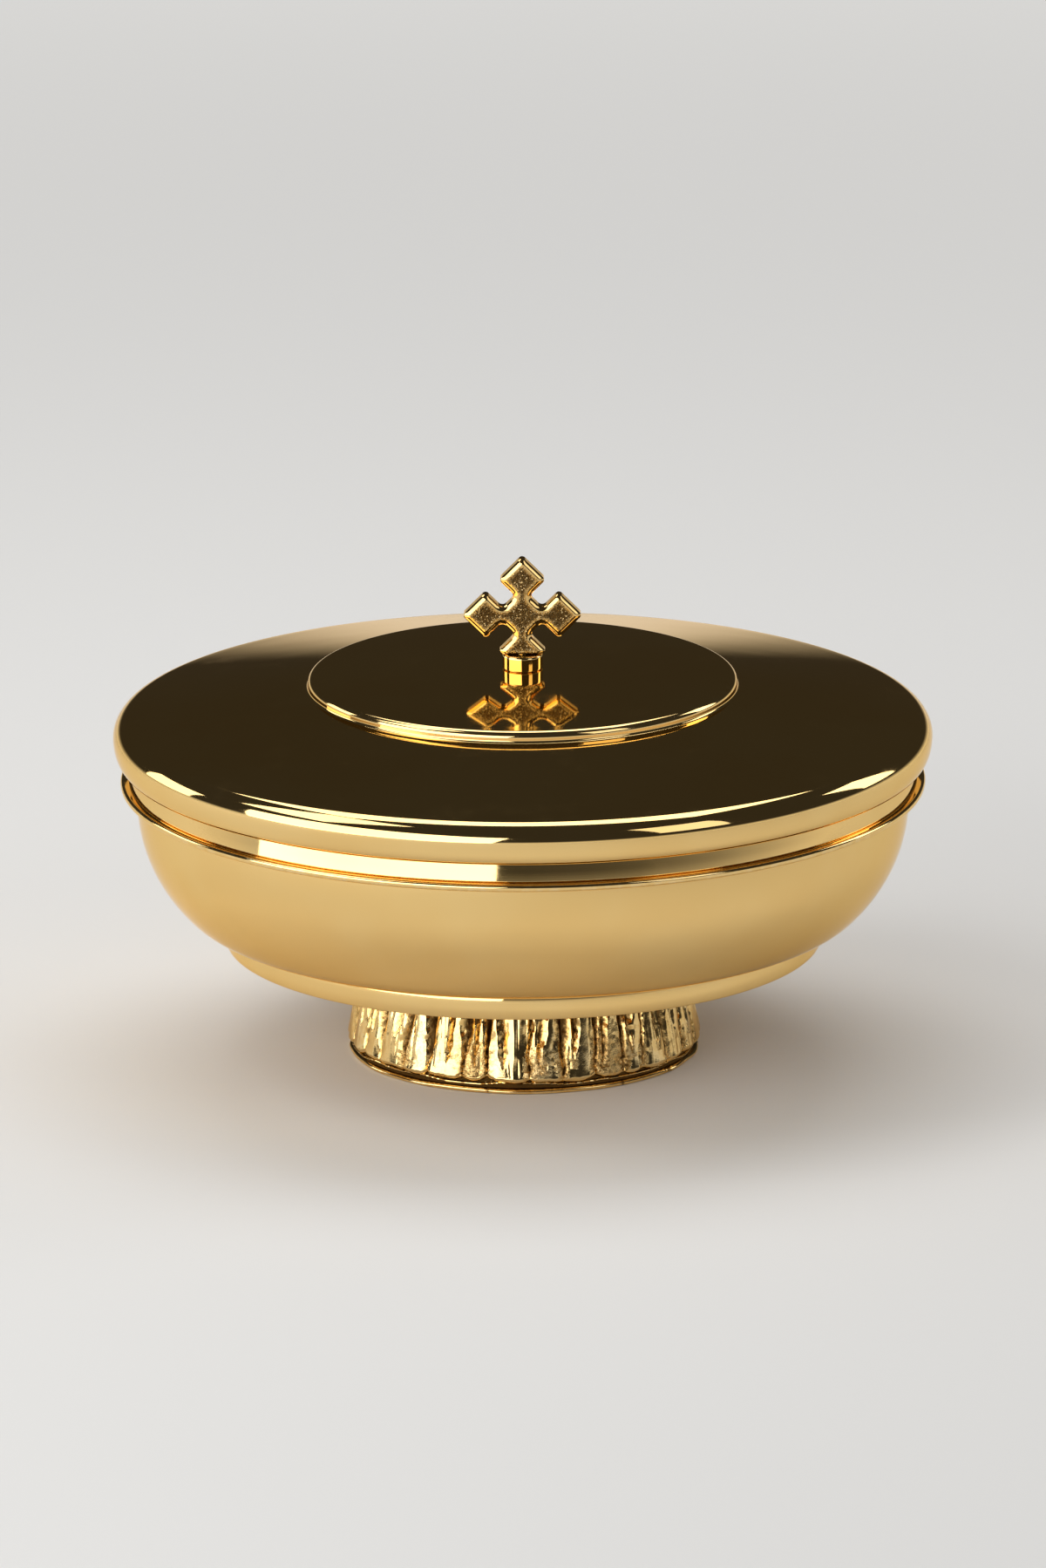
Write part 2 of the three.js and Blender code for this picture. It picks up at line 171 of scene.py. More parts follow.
# Fasteners, in mm
STUD_RADIUS = 3.0
STUD_PITCH = 1.0
STUD_PLAIN_END = 1.0              # below the flange, without a thread
FLANGE_THICKNESS = 0.9
FLANGE_ROUNDING = 0.2
THREAD_DEPTH = 0.55               # as a share of the pitch
ROD_CHAMFER = (0.6, 0.5)          # along and across a rod's lower end, as shares of the pitch
NUT_FACE = 0.97                   # radius of a nut's flat face, as a share of half its flats
NUT_CHAMFER = 30.0                # degrees
COUNTERSINK = 0.25
WASHER_ROUNDING = 0.3             # as a share of the thickness

# How finely curves are cut up
ARC_STEP = 3.0                    # degrees
LONGEST_STEP = 2.0                # mm between the points of a section
SHEET_COLUMNS = 192
SMALL_COLUMNS = 72
CORNER_STEPS = 6                  # along each rounded corner of the cross
SIDE_STEPS = 14                   # along each of its sides
BEVEL_STEPS = 12                  # across its bevel
CROWN_STEPS = 23                  # along the crown of the lid's disc
THREAD_STEPS = 12                 # along the axis, for each turn
STUD_COLUMNS = 64
PEG_COLUMNS = 32
NUT_COLUMNS = 96
FACE_SPACING = 0.3                # mm between the points of the cross's faces
FOOT_COLUMNS = 1152
FOOT_STEP = 0.3                   # mm between the foot's rings
FOOT_FINE_STEP = 0.12             # mm between them near the table
FINE_HEIGHT = 5.0                 # below which they lie that close
SHARP_EDGE = 35.0                 # degrees between two faces, above which their edge stays sharp

# Seeds of the random draws
FOLDS_SEED = 11
FOOT_SEED = 5
CROSS_SEED = 3

# Marks that the materials read
WEAR_GAIN = 0.8                   # of the edge mark for each 1/mm of curvature
WEAR_START = 0.2                  # what is taken off it, so that slow bends have none
UNSEEN_MARK = 0.3                 # of surfaces inside


def box_mm(node):
    """Lowest and highest corner of a CAD node, in mm."""
    low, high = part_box(node)
    return low / MM, high / MM


def arc(centre, across, up, start, end):
    """Points along an elliptical arc of a section, in degrees from the outward direction."""
    steps = max(2, round(abs(end - start) / ARC_STEP))
    angles = np.radians(np.linspace(start, end, steps + 1))
    return np.column_stack([centre[0] + across * np.cos(angles), centre[1] + up * np.sin(angles)])


def ways_from(corners, i):
    """Unit directions from a corner to the ones before and after it."""
    to_before = corners[i - 1] - corners[i]
    to_after = corners[(i + 1) % len(corners)] - corners[i]
    return to_before / np.hypot(*to_before), to_after / np.hypot(*to_after)


def corner_curve(corner, to_before, to_after, rounding, steps=None):
    """Points along the arc that rounds a corner between two unit directions. How far the arc turns
    sets the number of steps where none is given."""
    half_angle = math.acos(np.clip(to_before @ to_after, -1, 1)) / 2
    middle = to_before + to_after
    middle /= np.hypot(*middle)
    reach = rounding / math.tan(half_angle)
    centre = corner + middle * rounding / math.sin(half_angle)
    start = corner + to_before * reach - centre
    end = corner + to_after * reach - centre
    first = math.atan2(start[1], start[0])
    turn = math.remainder(math.atan2(end[1], end[0]) - first, 2 * math.pi)
    steps = steps or max(2, round(abs(math.degrees(turn)) / ARC_STEP))
    angles = np.linspace(first, first + turn, steps + 1)
    return [centre + rounding * np.array([math.cos(angle), math.sin(angle)]) for angle in angles]


def rounded(corners):
    """A closed section line through corners (radius, height, rounding), each rounded by an arc."""
    places = np.array([corner[:2] for corner in corners])
    line = []
    for i, (*_, rounding) in enumerate(corners):
        if rounding == 0:
            line.append(places[i])
        else:
            line += corner_curve(places[i], *ways_from(places, i), rounding)
    return np.array(line)


def stepped(line, closed):
    """The same section line with extra points, none further apart than the longest step."""
    ends = np.vstack([line[1:], line[:1]]) if closed else line[1:]
    points = []
    for here, there in zip(line, ends):
        steps = max(1, math.ceil(np.hypot(*(there - here)) / LONGEST_STEP))
        points += [here + (there - here) * i / steps for i in range(steps)]
    if not closed:
        points.append(line[-1])
    return np.array(points)


def moved_sideways(line, distance):
    """An open section line moved to its left by a distance."""
    ways = np.diff(line, axis=0)
    ways /= np.hypot(*ways.T)[:, None]
    arriving = np.vstack([ways[:1], ways])
    leaving = np.vstack([ways, ways[-1:]])
    along = arriving + leaving
    along /= np.hypot(*along.T)[:, None]
    reach = distance / (along * arriving).sum(axis=1)
    return line + np.column_stack([-along[:, 1], along[:, 0]]) * reach[:, None]


def ring_faces(rings, columns):
    """Corners of the faces between rings of points, the last of which joins the first."""
    index = np.arange(rings * columns).reshape(rings, columns)
    following = np.roll(index, -1, axis=0)
    corners = [index, np.roll(index, -1, axis=1), np.roll(following, -1, axis=1), following]
    return np.stack(corners, axis=-1)


def ring_form(radii, heights):
    """Points and faces of a closed form whose rings lie round the Z axis. Both arrays have a row
    for each ring and a column for each angle. The last ring joins the first, or both are poles."""
    angles = np.linspace(0, 2 * np.pi, radii.shape[1], endpoint=False)
    points = np.stack([radii * np.cos(angles), radii * np.sin(angles), heights], axis=-1)
    faces = ring_faces(*radii.shape)
    if radii[0].max() == 0 and radii[-1].max() == 0:
        faces = faces[:-1]
    return points.reshape(-1, 3), faces.reshape(-1, 4).tolist()


def spun(section, columns=SHEET_COLUMNS):
    """The form that a section makes when it is spun round the Z axis."""
    radii = np.repeat(section[:, :1], columns, axis=1)
    heights = np.repeat(section[:, 1:], columns, axis=1)
    return ring_form(radii, heights)


def edge_mark(section, columns):
    """From 0 on flat stretches to 1 on tight outer bends, where plating wears first."""
    before = section - np.roll(section, 1, axis=0)
    after = np.roll(section, -1, axis=0) - section
    turn = before[:, 0] * after[:, 1] - before[:, 1] * after[:, 0]
    spread = np.hypot(*before.T) * np.hypot(*after.T)
    length = (np.hypot(*before.T) + np.hypot(*after.T)) / 2
    curvature = np.arcsin(np.clip(turn / np.maximum(spread, 1e-9), -1, 1)) / np.maximum(length, 1e-3)
    return np.repeat(np.clip(curvature * WEAR_GAIN - WEAR_START, 0, 1), columns)


def placed(name, data):
    """A new object in the scene."""
    made = bpy.data.objects.new(name, data)
    bpy.context.scene.collection.objects.link(made)
    return made


def piece(name, forms, body, replaced, material, marks=None):
    """One object made of closed forms, in mm, that stands for a CAD node and rides on its body."""
    points = np.vstack([form[0] for form in forms]) * MM
    faces = []
    first = 0
    for form_points, form_faces in forms:
        faces += [[first + corner for corner in face] for face in form_faces]
        first += len(form_points)
    mesh = bpy.data.meshes.new(name)
    mesh.from_pydata(points.tolist(), [], faces)
    for mark, values in (marks or {}).items():
        mesh.attributes.new(mark, "FLOAT", "POINT").data.foreach_set("value", values.astype(np.float32))
    work = bmesh.new()
    work.from_mesh(mesh)
    bmesh.ops.remove_doubles(work, verts=work.verts, dist=1e-7)
    bmesh.ops.recalc_face_normals(work, faces=work.faces)
    work.to_mesh(mesh)
    work.free()
    mesh.shade_smooth()
    mesh.set_sharp_from_angle(angle=math.radians(SHARP_EDGE))
    made = placed(name, mesh)
    mesh.materials.append(material)
    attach(made, body)
    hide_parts(replaced)


def wrapped_noise(rng, angles, heights, columns, cell_height):
    """Smooth noise from -1 to 1 over angle and height, which closes round the axis."""
    rows = int(np.ceil(heights.max() / cell_height)) + 3
    values = rng.uniform(-1, 1, (rows, columns))
    across = angles / (2 * np.pi) * columns
    up = np.maximum(heights, 0) / cell_height
    column = np.floor(across).astype(int)
    row = np.floor(up).astype(int)
    part_across = across - column
    part_up = up - row
    part_across = part_across ** 2 * (3 - 2 * part_across)
    part_up = part_up ** 2 * (3 - 2 * part_up)
    left = column % columns
    right = (column + 1) % columns
    low = values[row, left] * (1 - part_across) + values[row, right] * part_across
    high = values[row + 1, left] * (1 - part_across) + values[row + 1, right] * part_across
    return low * (1 - part_up) + high * part_up


# Materials


def node(tree, kind, inputs=None, **settings):
    """A shader node with its settings. Its inputs are set to values or linked to other nodes."""
    made = tree.nodes.new(kind)
    for name, value in settings.items():
        setattr(made, name, value)
    for name, value in (inputs or {}).items():
        if isinstance(value, bpy.types.NodeSocket):
            tree.links.new(value, made.inputs[name])
        else:
            made.inputs[name].default_value = value
    return made


def new_tree(name):
    material = bpy.data.materials.new(name)
    material.use_nodes = True
    material.node_tree.nodes.clear()
    return material, material.node_tree


def in_mm(tree):
    """The place on the object, in mm."""
    place = node(tree, "ShaderNodeTexCoord").outputs["Object"]
    return node(tree, "ShaderNodeVectorMath", {0: place, "Scale": 1 / MM}, operation="SCALE").outputs[0]


def noise(tree, place, scale, detail=2.0, roughness=0.5):
    """Noise from 0 to 1, of a scale in waves per mm."""
    inputs = {"Vector": place, "Scale": scale, "Detail": detail, "Roughness": roughness}
    return node(tree, "ShaderNodeTexNoise", inputs).outputs["Fac"]


def ramp(tree, value, low, high, out_low=0.0, out_high=1.0):
    """A value mapped from one range to another and kept inside it, with soft ends."""
    inputs = {"Value": value, "From Min": low, "From Max": high, "To Min": out_low, "To Max": out_high}
    made = node(tree, "ShaderNodeMapRange", inputs, interpolation_type="SMOOTHSTEP")
    return made.outputs["Result"]


def maths(tree, operation, first, second=0.0):
    return node(tree, "ShaderNodeMath", {0: first, 1: second}, operation=operation).outputs[0]


def mixed(tree, share, first, second):
    inputs = {"Factor": share, "A": first, "B": second}
    made = node(tree, "ShaderNodeMix", None, data_type="RGBA")
    for name, value in inputs.items():
        socket = next(s for s in made.inputs if s.name == name and s.enabled)
        if isinstance(value, bpy.types.NodeSocket):
            tree.links.new(value, socket)
        else:
            socket.default_value = value
    return next(s for s in made.outputs if s.enabled)


def mark_value(tree, name):
    return node(tree, "ShaderNodeAttribute", attribute_name=name).outputs["Fac"]


def bumped(tree, height, distance, normal=None):
    """A bumpy normal, from a height of 0 to 1 that stands for a distance in mm."""
    inputs = {"Height": height, "Distance": distance * MM}
    if normal is not None:
        inputs["Normal"] = normal
    return node(tree, "ShaderNodeBump", inputs).outputs["Normal"]


def turning_marks(tree, place, stretch):
    """Noise over radius, angle and height, each stretched, as marks that run round the axis."""
    parts = node(tree, "ShaderNodeSeparateXYZ", {0: place})
    x, y, z = parts.outputs
    squares = maths(tree, "ADD", maths(tree, "MULTIPLY", x, x), maths(tree, "MULTIPLY", y, y))
    radius = maths(tree, "SQRT", squares)
    angle = maths(tree, "ARCTAN2", y, x)
    around = node(tree, "ShaderNodeCombineXYZ", {0: radius, 1: angle, 2: z}).outputs[0]
    stretched = node(tree, "ShaderNodeVectorMath", {0: around, 1: stretch}, operation="MULTIPLY")
    return noise(tree, stretched.outputs[0], 1.0, 3.0)


def metal(tree, colour, roughness, normal):
    inputs = {
        "Base Color": colour,
        "Metallic": 1.0,
        "Roughness": roughness,
        "Specular Tint": GLANCING,
        "Normal": normal,
    }
    shader = node(tree, "ShaderNodeBsdfPrincipled", inputs)
    node(tree, "ShaderNodeOutputMaterial", {"Surface": shader.outputs[0]})


GLANCING = (1.0, 0.86, 0.62, 1)    # warm tint of what gold mirrors at a flat angle
GOLD = (0.90, 0.63, 0.26, 1)
GOLD_DEEP = (0.86, 0.56, 0.20, 1)
GOLD_PALE = (0.93, 0.72, 0.38, 1)
GOLD_DARK = (0.13, 0.07, 0.02, 1)
# Nearly black gold of the cross's faces: painted dark reflection, not the metal's own colour
PAINTED_DARK_FACE_GOLD = (0.07, 0.043, 0.015, 1)
BRASS = (0.62, 0.45, 0.20, 1)
BRASS_DULL = (0.40, 0.27, 0.12, 1)


def polished_gilt():
    """Mirror plating: slow waves of the sheet, turning marks, faint smudges and worn edges."""
    material, tree = new_tree("polished_gilt")
    place = in_mm(tree)
    cloud = ramp(tree, noise(tree, place, 0.035, 3.0), 0.35, 0.65)
    wear_breakup = ramp(tree, noise(tree, place, 0.6, 4.0), 0.42, 0.62)
    wear = maths(tree, "MULTIPLY", mark_value(tree, "edge"), wear_breakup)
    colour = mixed(tree, maths(tree, "MULTIPLY", cloud, 0.5), GOLD, GOLD_DEEP)
    colour = mixed(tree, maths(tree, "MULTIPLY", wear, 0.6), colour, GOLD_PALE)
    smudge = ramp(tree, noise(tree, place, 0.09, 4.0, 0.6), 0.52, 0.72, 0.045, 0.10)
    turning = turning_marks(tree, place, (6.0, 1.5, 6.0))
    roughness = maths(tree, "ADD", smudge, ramp(tree, turning, 0.5, 0.8, 0.0, 0.03))
    roughness = maths(tree, "ADD", roughness, maths(tree, "MULTIPLY", wear, 0.05))
    normal = bumped(tree, noise(tree, place, 0.07, 1.0), 0.022)
    normal = bumped(tree, turning, 0.0005, normal)
    metal(tree, colour, roughness, normal)
    return material


def cast_gilt():
    """Cast and plated foot: bright on the raised folds, grainy and brown down in the grooves and in the
    hollow under them, partly dirt and partly painted shade.
    """
    material, tree = new_tree("cast_gilt")
    place = in_mm(tree)
    cavity = mark_value(tree, "cavity")
    grainy = mark_value(tree, "grainy")
    grain = noise(tree, place, 1.4, 4.0, 0.65)
    fine_grain = noise(tree, place, 3.5, 3.0, 0.6)
    # Darker and browner where the cavity mark is high, in grooves, grains and the hollow under the
    # folds: partly dirt, partly painted shade
    uneven = maths(tree, "ADD", cavity, ramp(tree, grain, 0.3, 0.7, -0.16, 0.16))
    dirt_and_painted_shade = ramp(tree, uneven, 0.2, 0.7)
    speck = ramp(tree, grain, 0.47, 0.56)
    speck = maths(tree, "MULTIPLY", maths(tree, "MULTIPLY", grainy, speck), 0.8)
    colour = mixed(tree, ramp(tree, noise(tree, place, 0.12, 3.0), 0.4, 0.8), GOLD, GOLD_PALE)
    colour = mixed(tree, ramp(tree, uneven, 0.02, 0.3), colour, GOLD_DEEP)
    colour = mixed(tree, maths(tree, "MAXIMUM", dirt_and_painted_shade, speck), colour, GOLD_DARK)
    rough = ramp(tree, grainy, 0.0, 1.0, 0.05, 0.24)
    roughness = maths(tree, "ADD", rough, ramp(tree, dirt_and_painted_shade, 0.0, 1.0, 0.0, 0.2))
    rough_grain = maths(tree, "ADD", grain, maths(tree, "MULTIPLY", fine_grain, 0.4))
    bumps = maths(tree, "MULTIPLY", rough_grain, ramp(tree, grainy, 0.0, 1.0, 0.05, 1.0))
    metal(tree, colour, roughness, bumped(tree, bumps, 0.3))
    return material


def grained_gilt():
    """The cross: flat faces with the grain of the casting on a nearly black colour that is painted dark
    reflection, and polished bevels round them.
    """
    material, tree = new_tree("grained_gilt")
    place = in_mm(tree)
    grainy = mark_value(tree, "grainy")
    grain = noise(tree, place, 2.4, 4.0, 0.7)
    patch = ramp(tree, noise(tree, place, 0.22, 2.0), 0.35, 0.6, 0.55, 1.0)
    pits = ramp(tree, noise(tree, place, 2.6, 3.0), 0.44, 0.54, 1.0, 0.0)
    dark = maths(tree, "MULTIPLY", maths(tree, "MULTIPLY", pits, grainy), patch)
    fleck = maths(tree, "MULTIPLY", ramp(tree, noise(tree, place, 2.8, 1.0), 0.61, 0.68), grainy)
    colour = mixed(tree, ramp(tree, noise(tree, place, 0.5, 3.0), 0.35, 0.65), GOLD, GOLD_DEEP)
    # Painted dark reflection: away from their edges the faces are coloured nearly black, as a mirror
    # face looks when it shows dark surroundings
    colour = mixed(tree, maths(tree, "MULTIPLY", grainy, 0.92), colour, PAINTED_DARK_FACE_GOLD)
    colour = mixed(tree, maths(tree, "MULTIPLY", dark, 0.85), colour, GOLD_DARK)
    colour = mixed(tree, fleck, colour, GOLD_PALE)
    rough = ramp(tree, grainy, 0.0, 1.0, 0.05, 0.2)
    roughness = maths(tree, "ADD", rough, maths(tree, "MULTIPLY", dark, 0.2))
    relief = ramp(tree, grainy, 0.0, 1.0, 0.02, 1.0)
    bumps = maths(tree, "MULTIPLY", maths(tree, "SUBTRACT", grain, dark), relief)
    metal(tree, colour, roughness, bumped(tree, bumps, 0.14))
    return material


def plain_brass():
    """Turned brass fasteners, a little dull, with marks of the tool."""
    material, tree = new_tree("plain_brass")
    place = in_mm(tree)
    marks = turning_marks(tree, place, (9.0, 2.0, 9.0))
    stain = ramp(tree, noise(tree, place, 0.5, 4.0), 0.4, 0.65)
    colour = mixed(tree, stain, BRASS, BRASS_DULL)
    rough = ramp(tree, marks, 0.3, 0.7, 0.24, 0.36)
    roughness = maths(tree, "ADD", rough, maths(tree, "MULTIPLY", stain, 0.12))
    metal(tree, colour, roughness, bumped(tree, marks, 0.01))
    return material


POLISHED = polished_gilt()
CAST = cast_gilt()
GRAINED = grained_gilt()
PLAIN = plain_brass()


def spun_piece(name, section, body, replaced, material, columns=SHEET_COLUMNS):
    marks = {"edge": edge_mark(section, columns)}
    piece(name, [spun(section, columns)], body, replaced, material, marks)


# The bowl and what is under it


def bowl_arc_centre():
    """Centre of the arc that the bowl's side wall has in section."""
    low, high = box_mm("bowl_shell")
    rise = BOWL_ARC_RADIUS * math.sin(math.radians(BOWL_ARC_DOWN))
    return high.x - BOWL_ARC_RADIUS, low.z + rise


def bowl_side(inset):
    """The bowl's outside, moved in by an inset: from the axis along the bottom and up the wall."""
    low = box_mm("bowl_shell")[0]
    centre = bowl_arc_centre()
    corner_height = low.z + BOWL_CORNER_RADIUS
    drop = centre[1] - corner_height
    between = BOWL_ARC_RADIUS - BOWL_CORNER_RADIUS
    corner = (centre[0] + math.sqrt(between ** 2 - drop ** 2), corner_height)
    meeting = -math.degrees(math.asin(drop / between))
    small = BOWL_CORNER_RADIUS - inset
    large = BOWL_ARC_RADIUS - inset
    line = np.vstack([
        [(0, low.z + inset)],
        arc(corner, small, small, -90, meeting),
        arc(centre, large, large, meeting, BOWL_ARC_UP)[1:],
    ])
    return stepped(line, closed=False)


def bowl():
    section = np.vstack([bowl_side(0), bowl_side(SHEET)[::-1]])
    spun_piece("bowl_sheet", section, "bowl", "bowl_shell", POLISHED)


def ledge():
    low, high = box_mm("bowl_ledge_ring")
    centre = bowl_arc_centre()
    rise = (low.z + high.z) / 2 - centre[1]
    inner = centre[0] + math.sqrt(BOWL_ARC_RADIUS ** 2 - rise ** 2)
    section = rounded([
        (inner, low.z, 0),
        (high.x, low.z, LEDGE_ROUNDING),
        (high.x, high.z, LEDGE_ROUNDING),
        (inner, high.z, 0),
    ])
    section = stepped(section, closed=True)
    spun_piece("ledge_ring", section, "bowl", "bowl_ledge_ring", POLISHED)


def saucer():
    low, high = box_mm("drip_saucer")
    hole = box_mm("foot_stud")[1].x + SAUCER_HOLE_GAP
    foot_top = box_mm("foot_casting")[1].z
    section = rounded([
        (hole, high.z, 0),
        (high.x, high.z, SAUCER_ROUNDING),
        (high.x, low.z, SHEET_EDGE_ROUNDING),
        (high.x - SHEET, low.z, SHEET_EDGE_ROUNDING),
        (high.x - SHEET, foot_top, 0),
        (hole, foot_top, 0),
    ])
    section = stepped(section, closed=True)
    from_middle = (section[:, 1] - (low.z + high.z) / 2) / ((high.z - low.z) / 2)
    is_rim = section[:, 0] > high.x - SAUCER_ROUNDING
    section[:, 0] -= is_rim * SAUCER_BARREL * from_middle ** 2
    spun_piece("saucer_plate", section, "bowl", "drip_saucer", POLISHED)


# The foot


def wrap_angle(angles):
    return (angles + np.pi) % (2 * np.pi) - np.pi


def foot_folds(angles, heights, top):
    """How deep the cast folds cut in, how near the deep places are, and how far each fold ends above
    the lowest one. Every second line is a groove down to the ends, and the others close on the way."""
    rng = np.random.default_rng(FOLDS_SEED)
    pitch = 2 * np.pi / FLUTES
    half_pitch = FOOT_BOTTOM_RADIUS * pitch / 2
    rise = np.clip((heights - TONGUE_END) / (top - TONGUE_END), 0, 1)
    warp = FOLD_WARP * wrapped_noise(rng, angles, heights, columns=3 * FLUTES, cell_height=4.0)
    warp += FOLD_RAGGED * wrapped_noise(rng, angles, heights, columns=10 * FLUTES, cell_height=1.3)
    shoulder_drop = SHOULDER_DROP * (SHOULDER_LOW + (1 - SHOULDER_LOW) * np.sqrt(rise))
    depth = np.zeros_like(angles)
    halo = np.zeros_like(angles)
    notch = np.zeros_like(angles)
    shoulders = np.zeros_like(angles)
    for k in range(2 * FLUTES):
        is_groove = k % 2 == 0
        middle = (k + rng.uniform(-FOLD_SHIFT, FOLD_SHIFT)) * pitch / 2
        lean = rng.uniform(-FOLD_LEAN, FOLD_LEAN)
        end = 0.0 if is_groove else rng.uniform(*SHORT_GROOVE_END)
        share = np.clip((rise - end) / (1 - end), 0, 1)
        widening = rng.uniform(*WIDENING)
        reach = NARROWEST + widening * share ** WIDENING_POWER
        away = np.abs(FOOT_BOTTOM_RADIUS * wrap_angle(angles - middle - lean * rise) + warp)
        closeness = np.clip(1 - away / reach, 0, 1)
        deepening = START_DEPTH * is_groove + (1 - START_DEPTH) * share ** DEEPENING_POWER
        deepest = FLUTE_DEPTH * rng.uniform(*DEPTH_SHARE) * deepening
        depth = np.maximum(depth, deepest * closeness ** GROOVE_POWER)
        around = np.clip(HALO_GAIN - away / (reach + HALO_REACH), 0, 1)
        halo = np.maximum(halo, around * (is_groove or rise > end - HALO_START))
        nearness = is_groove * np.clip(1 - away / half_pitch, 0, 1)
        shoulders = np.maximum(shoulders, shoulder_drop * nearness ** 2)
        notch = np.maximum(notch, rng.uniform(LEAST_ARCH, TONGUE_ARCH) * nearness ** 3)
    wander = STREAK_WANDER * wrapped_noise(rng, angles, heights, columns=2 * FLUTES, cell_height=7.0)
    along = (angles + wander) % (2 * np.pi)
    streaks = wrapped_noise(rng, along, heights, columns=7 * FLUTES, cell_height=14.0)
    streaks += FINE_STREAKS * wrapped_noise(rng, along, heights, columns=16 * FLUTES, cell_height=9.0)
    streak_depth = STREAK_DEPTH * np.clip(streaks + STREAK_LEVEL, 0, 2) * rise ** DEEPENING_POWER
    return np.clip(np.maximum(depth, shoulders) + streak_depth, 0, FLUTE_DEPTH), halo, notch


def foot_grain(rng, angles, heights, depth, halo):
    """How much grain the casting has left, and how far its grains cut in, both from 0 to 1."""
    patches = wrapped_noise(rng, angles, heights, columns=30, cell_height=5.0)
    low_down = np.clip(1 - (heights - TONGUE_END) / GRAINY_HEIGHT, 0, 1)
    unpolished = (1 + np.cos(angles - GRAINY_SIDE)) / 2
    everywhere, more_low_down = GRAIN_BESIDE_GROOVES
    grainy = halo * (everywhere + more_low_down * low_down * unpolished)
    everywhere, more_low_down = GRAIN_IN_PATCHES
    grainy = grainy + patches * (everywhere + more_low_down * low_down) - GRAIN_POLISHED_OFF
    in_grooves = 1 - (1 - depth / FLUTE_DEPTH) * GRAIN_GAIN_IN_GROOVES
    grainy = np.clip(np.maximum(grainy, in_grooves), 0, 1)
    grains = wrapped_noise(rng, angles, heights, columns=260, cell_height=0.8)
    grains += FINE_GRAINS * wrapped_noise(rng, angles, heights, columns=480, cell_height=0.45)
    return grainy, np.clip(grains, 0, 1) * grainy


def foot_radius(heights, top_radius, top):
    """Outside radius over the folds, which taper up to a waist and flare above it."""
    above = np.clip((heights - FOOT_WAIST_HEIGHT) / (top - FOOT_WAIST_HEIGHT), 0, 1)
    below = np.clip((heights - TONGUE_END) / (FOOT_WAIST_HEIGHT - TONGUE_END), 0, 1)
    swell = (FOOT_BOTTOM_RADIUS - FOOT_WAIST_RADIUS) * (1 - below)
    return FOOT_WAIST_RADIUS + swell + (top_radius - FOOT_WAIST_RADIUS) * above ** 2


def ridge(heights, middle, thickness, reach):
    """How far a round ridge stands out at each height."""
    across = np.clip(np.abs(heights - middle) / (thickness / 2), 0, 1)
    return reach * np.sqrt(1 - across ** 2)


def foot():
    high = box_mm("foot_casting")[1]
    top = high.z
    web_bottom = top - WEB_THICKNESS
    levels = np.concatenate([
        np.arange(0, FINE_HEIGHT, FOOT_FINE_STEP),
        np.linspace(FINE_HEIGHT, top, round((top - FINE_HEIGHT) / FOOT_STEP)),
    ])
    angles, heights = np.meshgrid(np.linspace(0, 2 * np.pi, FOOT_COLUMNS, endpoint=False), levels)
    rng = np.random.default_rng(FOOT_SEED)
    depth, halo, notch = foot_folds(angles, heights, top - FLUTE_FADE)
    grainy, grains = foot_grain(rng, angles, heights, depth, halo)
    fade = np.clip((top - heights) / FLUTE_FADE, 0, 1)
    uneven = FOLD_UNEVEN * np.abs(wrapped_noise(rng, angles, heights, columns=44, cell_height=5.0))
    folds = foot_radius(heights, high.x, top) - depth * fade - grains * GRAIN_DEPTH - uneven

    # The tongues turn under to the hollow, in which there is a thin crease above the standing lip
    end_waves = END_WAVES * wrapped_noise(rng, angles, heights, columns=70, cell_height=30.0)
    end = TONGUE_END + notch + end_waves
    turn_under = np.clip((heights - end) / TONGUE_ROUNDING + 1, 0, 1)
    outline = HEM_RADIUS + (folds - HEM_RADIUS) * np.sqrt(1 - (1 - turn_under) ** 2)
    waves = wrapped_noise(rng, angles, np.zeros_like(heights), columns=34, cell_height=1.0)
    crease = ridge(heights, CREASE_HEIGHT + HEM_WAVES * waves, CREASE_THICKNESS, CREASE_REACH)
    lip = ridge(heights, LIP_THICKNESS / 2, LIP_THICKNESS, LIP_REACH * (1 + HEM_WAVES * waves))
    ledges = HEM_RADIUS + np.maximum(crease, lip)
    outline = np.where(heights < TONGUE_END, np.maximum(outline, ledges), outline)

    inside = stepped(np.array([
        (high.x, top),
        (STUD_HOLE_RADIUS, top),
        (STUD_HOLE_RADIUS, web_bottom),
        (FOOT_INNER_RADIUS, web_bottom),
        (FOOT_INNER_RADIUS, 0),
        (HEM_RADIUS, 0),
    ]), closed=False)[1:-1]
    radii = np.vstack([outline, np.repeat(inside[:, :1], FOOT_COLUMNS, axis=1)])
    all_heights = np.vstack([heights, np.repeat(inside[:, 1:], FOOT_COLUMNS, axis=1)])
    hollow = np.clip((end - heights) / HOLLOW_EDGE, 0, 1) * (outline < HEM_RADIUS + HOLLOW_REACH)
    # The material darkens the places with a high cavity mark: partly dirt, partly painted shade
    cavity = np.maximum(depth / FLUTE_DEPTH * fade + grains * GRAIN_CAVITY, hollow)
    rest = np.full((len(inside), FOOT_COLUMNS), UNSEEN_MARK)
    marks = {
        "cavity": np.vstack([cavity, rest]).ravel(),
        "grainy": np.vstack([grainy * (heights > end), rest]).ravel(),
    }
    form = ring_form(radii, all_heights)
    piece("foot_cast", [form], "bowl", "foot_casting", CAST, marks)


# Fasteners


